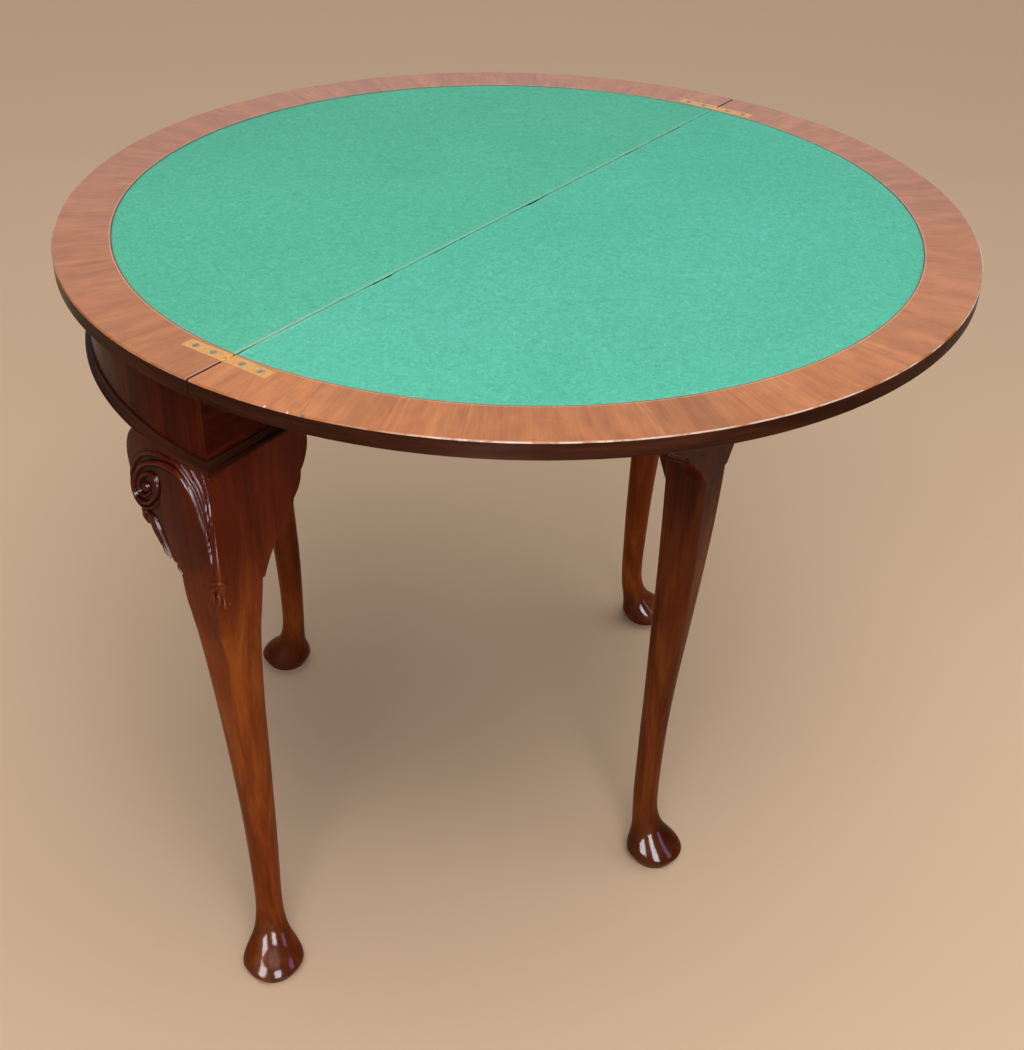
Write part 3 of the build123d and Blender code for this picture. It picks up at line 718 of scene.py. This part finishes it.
def threadTree():
    tree = bpy.data.node_groups.new("threads along the fold", "GeometryNodeTree")
    face = tree.interface
    face.new_socket("Geometry", in_out="INPUT", socket_type="NodeSocketGeometry")
    sockets = {}
    for name, kind in (("Count", "NodeSocketInt"), ("Thickness", "NodeSocketFloat"), ("Length", "NodeSocketFloat"),
                       ("Spread", "NodeSocketVector"), ("Seed", "NodeSocketInt"), ("Edge Thickness", "NodeSocketFloat"),
                       ("Thread", "NodeSocketMaterial")):
        sockets[name] = face.new_socket(name, in_out="INPUT", socket_type=kind).identifier
    face.new_socket("Geometry", in_out="OUTPUT", socket_type="NodeSocketGeometry")
    make, link = tree.nodes.new, tree.links.new
    given, result = make("NodeGroupInput"), make("NodeGroupOutput")
    toCurve = make("GeometryNodeMeshToCurve")
    link(given.outputs["Geometry"], toCurve.inputs["Mesh"])
    toPoints = make("GeometryNodeCurveToPoints")
    toPoints.mode = "COUNT"
    link(toCurve.outputs["Curve"], toPoints.inputs["Curve"])
    link(given.outputs["Count"], toPoints.inputs["Count"])

    def tubeOf(curve, radius, corners):
        ring = make("GeometryNodeCurvePrimitiveCircle")
        ring.inputs["Resolution"].default_value = corners
        link(radius, ring.inputs["Radius"])
        tube = make("GeometryNodeCurveToMesh")
        tube.inputs["Fill Caps"].default_value = True
        link(curve, tube.inputs["Curve"])
        link(ring.outputs["Curve"], tube.inputs["Profile Curve"])
        return tube.outputs["Mesh"]

    def randomValue(low, high, offset, kind="FLOAT"):
        node = make("FunctionNodeRandomValue")
        node.data_type = kind
        place = 0 if kind == "FLOAT_VECTOR" else 2
        node.inputs[place].default_value = low
        node.inputs[place + 1].default_value = high
        link(plus(tree, given.outputs["Seed"], offset), node.inputs["Seed"])
        return node.outputs[0 if kind == "FLOAT_VECTOR" else 1]

    shift = make("GeometryNodeSetPosition")
    spread = make("ShaderNodeVectorMath")
    spread.operation = "MULTIPLY"
    link(randomValue((-1.0, 0.8, 0.1), (1.0, 2.0, 0.9), 1, "FLOAT_VECTOR"), spread.inputs[0])
    link(given.outputs["Spread"], spread.inputs[1])
    link(toPoints.outputs["Points"], shift.inputs["Geometry"])
    link(spread.outputs[0], shift.inputs["Offset"])
    strand = make("GeometryNodeCurveQuadraticBezier")
    strand.inputs["Resolution"].default_value = 5
    strand.inputs["Start"].default_value = (-0.5, 0.0, 0.0)
    strand.inputs["Middle"].default_value = (0.0, 0.22, 0.03)
    strand.inputs["End"].default_value = (0.5, 0.04, 0.0)
    thin = maths(tree, "DIVIDE", given.outputs["Thickness"], given.outputs["Length"])
    instances = make("GeometryNodeInstanceOnPoints")
    link(shift.outputs["Geometry"], instances.inputs["Points"])
    link(tubeOf(strand.outputs["Curve"], thin, 5), instances.inputs["Instance"])
    link(randomValue((-0.03, -0.03, -0.3), (0.03, 0.03, 0.3), 2, "FLOAT_VECTOR"), instances.inputs["Rotation"])
    link(times(tree, randomValue(0.35, 1.0, 3), given.outputs["Length"]), instances.inputs["Scale"])
    both = make("GeometryNodeJoinGeometry")
    link(instances.outputs["Instances"], both.inputs["Geometry"])
    link(tubeOf(toCurve.outputs["Curve"], given.outputs["Edge Thickness"], 6), both.inputs["Geometry"])
    real = make("GeometryNodeRealizeInstances")
    link(both.outputs["Geometry"], real.inputs["Geometry"])
    cover = make("GeometryNodeSetMaterial")
    link(real.outputs["Geometry"], cover.inputs["Geometry"])
    link(given.outputs["Thread"], cover.inputs["Material"])
    link(cover.outputs["Geometry"], result.inputs[0])
    return tree, sockets


def foldThreads(name, side, material, body, tree, sockets):
    look = threads
    reach = look["reach"] * baizeRadius
    steps = look["steps"]
    line = []
    for step in range(steps + 1):
        x = -reach + 2.0 * reach * step / steps
        y = foldEdge + look["edgePlace"] + edgeWander(foldWave(x, side), side)
        line.append((x, side * y, tableHeight - look["edgeDepth"]))
    mesh = bpy.data.meshes.new(name)
    mesh.from_pydata(line, [(step, step + 1) for step in range(steps)], [])
    piece = bpy.data.objects.new(name, mesh)
    bpy.context.scene.collection.objects.link(piece)
    modifier = piece.modifiers.new("threads", "NODES")
    modifier.node_group = tree
    along, away, upward = look["spread"]
    values = {"Count": look["count"], "Thickness": look["thick"], "Length": look["long"],
              "Spread": (along, side * away, upward), "Seed": look["seed"] + (side > 0),
              "Edge Thickness": look["bedThick" if side < 0 else "flapThick"], "Thread": material}
    for label, value in values.items():
        modifier[sockets[label]] = value
    graph = bpy.context.evaluated_depsgraph_get()
    made = bpy.data.meshes.new_from_object(piece.evaluated_get(graph))
    piece.modifiers.clear()
    piece.data = made
    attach(piece, body)


threadNodes, threadSockets = threadTree()
foldThreads("edge_threads_fixed_leaf", -1, materials["bedThread"], "table_frame", threadNodes, threadSockets)
foldThreads("edge_threads_flap", 1, materials["flapThread"], "flap", threadNodes, threadSockets)
print("threads laid")


# carving on the knees: a relief laid on the surface of the leg and its ear.
# across is the distance from the arris towards the ear, up the height from the floor, in millimetres.
carving = {"cell": 0.65, "low": 503.0, "high": 644.6, "reach": 132.0, "wall": 3.2 * mm, "steps": 6, "blur": 4,
           "boss": (91.0, 594.5, 5.0, 4.4), "volute": (98.0, 598.0, 40.0), "field": (56.0, 590.0, 32.0, 44.0),
           "ground": 1.2, "groundShare": 0.6, "cutDepth": 0.4, "least": 0.03, "sunk": -1.0, "hidden": -0.45,
           "grooveFloor": -0.3, "deepest": 34.0, "castFrom": 470.0 * mm, "castReach": 120.0 * mm}
# the knees, in millimetres: radius of their rounded front, half a leg's width, and the arris in front of the fold
kneeRadius = 414.0
halfLeg = 27.0
arrisForward = 9.0

# the small husk below the bead, in distances from the arris: the patch it lies in, and where its rays start
husk = {"cell": 0.5, "aside": (-26.0, 18.0), "up": (503.0, 543.0), "arris": (405.0 * mm, -9.5 * mm),
        "castFrom": 60.0 * mm}
huskRidges = {
    "top": [(0.0, 541.0, 0.8, 0.8), (1.0, 537.0, 1.6, 1.8), (3.0, 532.0, 2.0, 2.2)],
    "left": [(0.5, 538.5, 1.0, 1.2), (4.0, 536.0, 1.7, 2.0), (6.8, 533.2, 1.6, 1.9), (7.4, 531.4, 0.8, 0.9)],
    "right": [(0.0, 537.5, 0.9, 1.0), (-2.6, 534.0, 1.7, 2.0), (-3.0, 530.0, 1.8, 2.0), (-1.6, 526.5, 1.2, 1.3)],
    "main": [(4.5, 531.0, 1.4, 1.6), (7.4, 526.0, 2.4, 2.8), (8.6, 520.0, 2.8, 3.2), (7.8, 514.5, 2.4, 2.8),
             (6.4, 512.0, 1.2, 1.4)],
    "middle": [(2.0, 528.0, 1.4, 1.6), (2.6, 521.0, 2.3, 2.8), (2.8, 514.0, 2.2, 2.6), (3.8, 510.6, 1.0, 1.2)],
    "low": [(-1.0, 520.0, 1.2, 1.5), (-1.8, 513.0, 2.2, 2.6), (-2.2, 508.5, 2.2, 2.4), (-4.8, 508.6, 1.4, 1.6),
            (-6.2, 511.2, 0.8, 0.9)],
}
# each ridge: points (across, up, half width, height)
ridges = {
    "beadAndVolute": [
        (9.6, 536.0, 0.8, 0.6), (9.3, 542.0, 1.5, 1.3), (8.2, 557.4, 1.8, 1.9), (9.2, 570.3, 1.8, 2.2),
        (10.6, 580.7, 1.8, 2.4), (13.5, 589.4, 2.0, 2.6), (17.6, 600.7, 2.3, 2.9), (21.5, 612.6, 2.7, 3.2),
        (25.5, 621.2, 3.1, 3.4), (31.8, 628.2, 3.4, 3.5), (40.0, 632.6, 3.3, 3.5), (50.0, 633.4, 3.0, 3.5),
        (59.0, 632.0, 2.7, 3.5), (68.5, 629.0, 2.4, 3.5), (81.3, 623.0, 2.2, 3.5), (93.3, 615.0, 2.1, 3.5),
        (104.0, 604.4, 2.0, 3.4), (111.5, 593.7, 2.0, 3.4), (116.0, 583.0, 1.9, 3.4), (116.3, 575.5, 1.9, 3.4),
        (112.0, 571.2, 1.9, 3.4), (104.0, 571.4, 1.9, 3.4), (92.2, 576.8, 1.9, 3.4), (82.3, 585.3, 1.9, 3.4),
        (75.4, 594.2, 1.8, 3.4), (71.8, 603.0, 1.8, 3.4), (72.0, 609.6, 1.8, 3.4), (75.8, 612.6, 1.8, 3.4),
        (82.8, 611.8, 1.7, 3.4), (92.5, 606.2, 1.7, 3.3), (100.8, 598.0, 1.6, 3.3), (106.0, 589.0, 1.6, 3.2),
        (106.5, 583.0, 1.6, 3.2), (103.2, 580.4, 1.5, 3.1), (97.5, 581.4, 1.4, 3.0), (90.5, 586.0, 1.3, 2.8),
        (86.3, 590.5, 1.0, 2.2)],
    "rim": [
        (42.0, 639.6, 0.7, 0.8), (50.0, 640.0, 1.1, 1.8), (61.7, 639.2, 1.5, 2.6), (72.4, 636.2, 1.6, 2.8),
        (84.2, 631.2, 1.6, 2.8), (95.6, 623.6, 1.6, 2.8), (106.6, 612.4, 1.6, 2.8), (114.6, 600.8, 1.6, 2.7),
        (120.4, 586.4, 1.5, 2.6), (122.2, 576.4, 1.5, 2.6), (119.8, 569.0, 1.5, 2.6), (114.0, 566.0, 1.5, 2.6),
        (105.5, 566.0, 1.5, 2.6), (94.6, 570.0, 1.5, 2.6), (83.8, 577.0, 1.5, 2.5), (77.6, 583.4, 1.2, 1.8),
        (73.5, 588.5, 0.8, 0.9)],
    "reedOne": [
        (44.0, 643.5, 1.4, 1.6), (35.0, 638.6, 1.6, 1.9), (26.5, 632.2, 1.7, 2.0), (20.0, 624.2, 1.7, 2.0),
        (17.2, 617.2, 1.5, 1.9), (14.2, 608.0, 1.4, 1.7), (11.3, 596.0, 1.1, 1.4), (8.8, 585.0, 0.8, 0.9),
        (7.4, 575.0, 0.6, 0.5)],
    "reedTwo": [
        (33.0, 643.5, 1.7, 1.7), (24.5, 636.8, 2.0, 1.9), (17.2, 628.8, 2.0, 2.0), (13.0, 619.0, 1.8, 1.9),
        (10.7, 610.6, 1.4, 1.7), (8.5, 600.6, 1.1, 1.4), (7.0, 590.0, 0.8, 0.9), (6.2, 579.0, 0.6, 0.5)],
    "reedThree": [
        (20.0, 643.5, 2.0, 1.7), (14.2, 635.0, 2.0, 1.9), (10.0, 626.6, 1.8, 1.9), (7.8, 617.2, 1.5, 1.8),
        (6.9, 607.8, 1.1, 1.5), (6.2, 597.0, 0.9, 1.1), (5.4, 585.0, 0.6, 0.6)],
    "reedFour": [
        (8.0, 643.5, 2.2, 1.7), (5.6, 633.0, 2.0, 1.8), (3.6, 622.5, 1.7, 1.7), (2.8, 611.0, 1.4, 1.4),
        (3.2, 600.0, 1.0, 1.0), (3.8, 588.0, 0.7, 0.6)],
    "underLeaf": [
        (98.0, 565.5, 2.6, 2.2), (89.0, 563.6, 2.8, 2.6), (82.5, 558.6, 2.7, 2.6), (77.6, 550.5, 2.5, 2.5),
        (73.0, 541.8, 2.2, 2.3), (67.5, 534.4, 2.0, 2.0), (60.5, 528.0, 1.6, 1.5), (52.0, 521.5, 1.0, 0.8)],
    "leafLobeOne": [
        (103.0, 560.5, 3.0, 2.6), (106.0, 556.5, 2.9, 2.4), (105.5, 552.5, 1.8, 1.4)],
    "leafLobeTwo": [
        (87.0, 552.5, 2.5, 2.2), (85.5, 547.0, 2.6, 2.1), (81.5, 541.0, 1.6, 1.2)],
    "leafLobeThree": [
        (76.5, 538.0, 2.1, 1.9), (73.0, 533.0, 2.2, 1.7), (66.5, 529.0, 1.2, 0.9)],
}


def smoothLine(points, steps):
    # Catmull-Rom line through the points, widths and heights included
    rows = np.array([points[0], *points, points[-1]], float)
    line = []
    for index in range(1, len(rows) - 2):
        a, b, c, d = rows[index - 1:index + 3]
        for step in range(steps):
            u = step / steps
            line.append(0.5 * (2 * b + (c - a) * u + (2 * a - 5 * b + 4 * c - d) * u ** 2
                               + (3 * b - a - 3 * c + d) * u ** 3))
    line.append(rows[-2])
    return np.array(line)


def ridgeHeight(across, up, line):
    # height of one ridge over the ground, and the shallow cut beside it
    best = np.zeros_like(across)
    cut = np.zeros_like(across)
    for first, second in zip(line[:-1], line[1:]):
        run = second[:2] - first[:2]
        length = max(float(run @ run), 1e-9)
        share = np.clip(((across - first[0]) * run[0] + (up - first[1]) * run[1]) / length, 0.0, 1.0)
        far = np.hypot(across - first[0] - share * run[0], up - first[1] - share * run[1])
        half = first[2] + (second[2] - first[2]) * share
        tall = first[3] + (second[3] - first[3]) * share
        best = np.maximum(best, tall * np.sqrt(np.clip(1.0 - (far / half) ** 2, 0.0, 1.0)))
        beside = np.exp(-(((far - 1.25 * half) / (0.55 * half + 0.4)) ** 2))
        cut = np.maximum(cut, beside * np.minimum(tall, 1.6) * carving["cutDepth"])
    return best, cut


def allRidges(across, up, group):
    total = np.zeros_like(across)
    cuts = np.zeros_like(across)
    for points in group.values():
        best, cut = ridgeHeight(across, up, smoothLine(points, carving["steps"]))
        total = np.maximum(total, best)
        cuts = np.maximum(cuts, cut)
    return total, cuts


def kneeRelief(across, up):
    look = carving
    total, cuts = allRidges(across, up, ridges)
    x, z, radius, tall = look["boss"]
    boss = tall * np.sqrt(np.clip(1.0 - (np.hypot(across - x, up - z) / radius) ** 2, 0.0, 1.0))
    total = np.maximum(total, boss)
    # the ground of the carving stands a little proud, so that the cuts show beside the ridges
    x, z, wide, high = look["field"]
    field = look["ground"] * np.exp(-(((across - x) / wide) ** 4) - (((up - z) / high) ** 4))
    x, z, radius = look["volute"]
    ground = np.maximum(field, look["ground"] * np.exp(-((np.hypot(across - x, up - z) / radius) ** 8)))
    raised = np.where(total > cuts, ground * look["groundShare"] + total, ground - cuts)
    return np.where(total + ground > 0.05, raised, -cuts)


def surfaceOf(*names):
    verts, faces = [], []
    for name in names:
        mesh = nodes[name].data
        start = len(verts)
        verts += [vertex.co.copy() for vertex in mesh.vertices]
        faces += [[start + corner for corner in polygon.vertices] for polygon in mesh.polygons]
    return BVHTree.FromPolygons(verts, faces)


def castGrid(tree, starts, outward):
    # where rays from outside meet the wood
    rows, columns = starts.shape[:2]
    places = np.full((rows, columns, 3), np.nan)
    for row in range(rows):
        for column in range(columns):
            start, inward = Vector(starts[row, column]), -Vector(outward[row, column])
            hit = tree.ray_cast(start, inward, carving["castReach"])[0]
            if hit is not None:
                places[row, column] = hit
    return places


def spreadMask(mask, steps, growing):
    # grows or shrinks a patch of cells by so many steps
    for step in range(steps):
        grown = mask.copy()
        for near, far in ((np.s_[1:, :], np.s_[:-1, :]), (np.s_[:-1, :], np.s_[1:, :]),
                          (np.s_[:, 1:], np.s_[:, :-1]), (np.s_[:, :-1], np.s_[:, 1:])):
            grown[near] = grown[near] | mask[far] if growing else grown[near] & mask[far]
        mask = grown
    return mask


def layRelief(name, places, starts, outward, height, material, body):
    # lays the relief on the wood, sunk out of sight where it has no height, and keeps only the cells that show
    look = carving
    rows, columns = height.shape
    found = ~np.isnan(places[:, :, 0])
    out = np.hypot(np.nan_to_num(places[:, :, 0]), np.nan_to_num(places[:, :, 1]))
    solid = found & (out > (kneeRadius - look["deepest"]) * mm)
    # it dies away towards the edge of the wood
    fading = sum(spreadMask(solid, step, False).astype(float) for step in (1, 2, 3)) / 3.0
    shown = height * fading + 0.9 * look["sunk"] * (1.0 - fading)
    shown = np.where(height > look["least"], shown, look["sunk"])
    wide = spreadMask(solid & (shown > look["hidden"]), 2, True) & solid
    number = -np.ones((rows, columns), int)
    verts, faces = [], []
    for row in range(rows):
        for column in range(columns):
            if wide[row, column]:
                number[row, column] = len(verts)
                verts.append(places[row, column] + outward[row, column] * (shown[row, column] * mm))
    along, upward = starts[0, 1] - starts[0, 0], starts[1, 0] - starts[0, 0]
    turned = float(np.cross(along, upward) @ outward[0, 0]) < 0.0
    for row in range(rows - 1):
        for column in range(columns - 1):
            cell = ((row, column), (row, column + 1), (row + 1, column + 1), (row + 1, column))
            corners = [int(number[place]) for place in cell]
            if min(corners) >= 0:
                faces.append(corners[::-1] if turned else corners)
    piece = addPiece(name, [tuple(place) for place in verts], faces, material, body)
    # how far each point lies under its neighbours, for the painted shade in the cuts
    level = np.maximum(shown, look["grooveFloor"])
    padded = np.pad(level, look["blur"], mode="edge")
    width = 2 * look["blur"] + 1
    mean = sum(padded[row:row + rows, column:column + columns] for row in range(width)
               for column in range(width)) / width ** 2
    groove = piece.data.attributes.new("groove", "FLOAT", "POINT")
    groove.data.foreach_set("value", (mean - level)[number >= 0].astype(np.float32))
    closeShell(piece, look["wall"])


def roundRays(angles, up):
    # rays towards the table's centre line
    outward = np.stack([np.cos(angles), np.sin(angles), np.zeros_like(angles)], axis=-1)
    starts = outward * carving["castFrom"]
    starts[:, :, 2] = up * mm
    return starts, outward


def kneeGrid():
    look = carving
    columns = np.arange(0.6, look["reach"], look["cell"])
    rows = np.arange(look["low"], look["high"], look["cell"])
    return np.meshgrid(columns, rows)


def carveCorner(end, far):
    across, up = kneeGrid()
    angles = -np.arcsin((across + arrisForward) / kneeRadius)
    starts, outward = roundRays(math.pi - angles if far else angles, up)
    places = castGrid(surfaceOf("corner_leg_" + end, "corner_front_ear_" + end), starts, outward)
    height = kneeRelief(across, up)
    layRelief("knee_carving_" + end, places, starts, outward, height, materials["carving"], "table_frame")
    # the husk sits on the arris, met by rays along the diagonal
    side = -1.0 if far else 1.0
    x, y = husk["arris"]
    diagonal = math.sqrt(0.5)
    aside, up = np.meshgrid(np.arange(*husk["aside"], husk["cell"]), np.arange(*husk["up"], husk["cell"]))
    outward = np.broadcast_to(np.array([side, 1.0, 0.0]) * diagonal, (*aside.shape, 3))
    starts = np.array([side * x, y, 0.0]) + aside[:, :, None] * mm * np.array([side, -1.0, 0.0]) * diagonal
    starts = starts + outward * husk["castFrom"]
    starts[:, :, 2] = up * mm
    places = castGrid(surfaceOf("corner_leg_" + end), starts, outward)
    reach = np.nan_to_num(side * places[:, :, 0] + places[:, :, 1], nan=-9.0)
    arris = aside[0, np.argmax(reach, axis=1)][:, None]
    height = allRidges(aside - arris, up, huskRidges)[0]
    layRelief("husk_" + end, places, starts, outward, height, materials["carving"], "table_frame")


def carveFront(end, far):
    # on the front leg the same carving runs to each side of the middle, narrowed on the leg itself
    across, up = kneeGrid()
    place = np.where(across < halfLeg, 2.0 * across, across + halfLeg)
    height = np.where(place > carving["reach"], 0.0, kneeRelief(place, up))
    side = np.arcsin(across / kneeRadius)
    starts, outward = roundRays(-math.pi / 2 + (-side if far else side), up)
    places = castGrid(surfaceOf("front_leg", "front_leg_ear_" + end), starts, outward)
    layRelief("front_carving_" + end, places, starts, outward, height, materials["carving"], "table_frame")


carveCorner("near", False)
carveCorner("far", True)
carveFront("near", False)
carveFront("far", True)
print("knees carved")
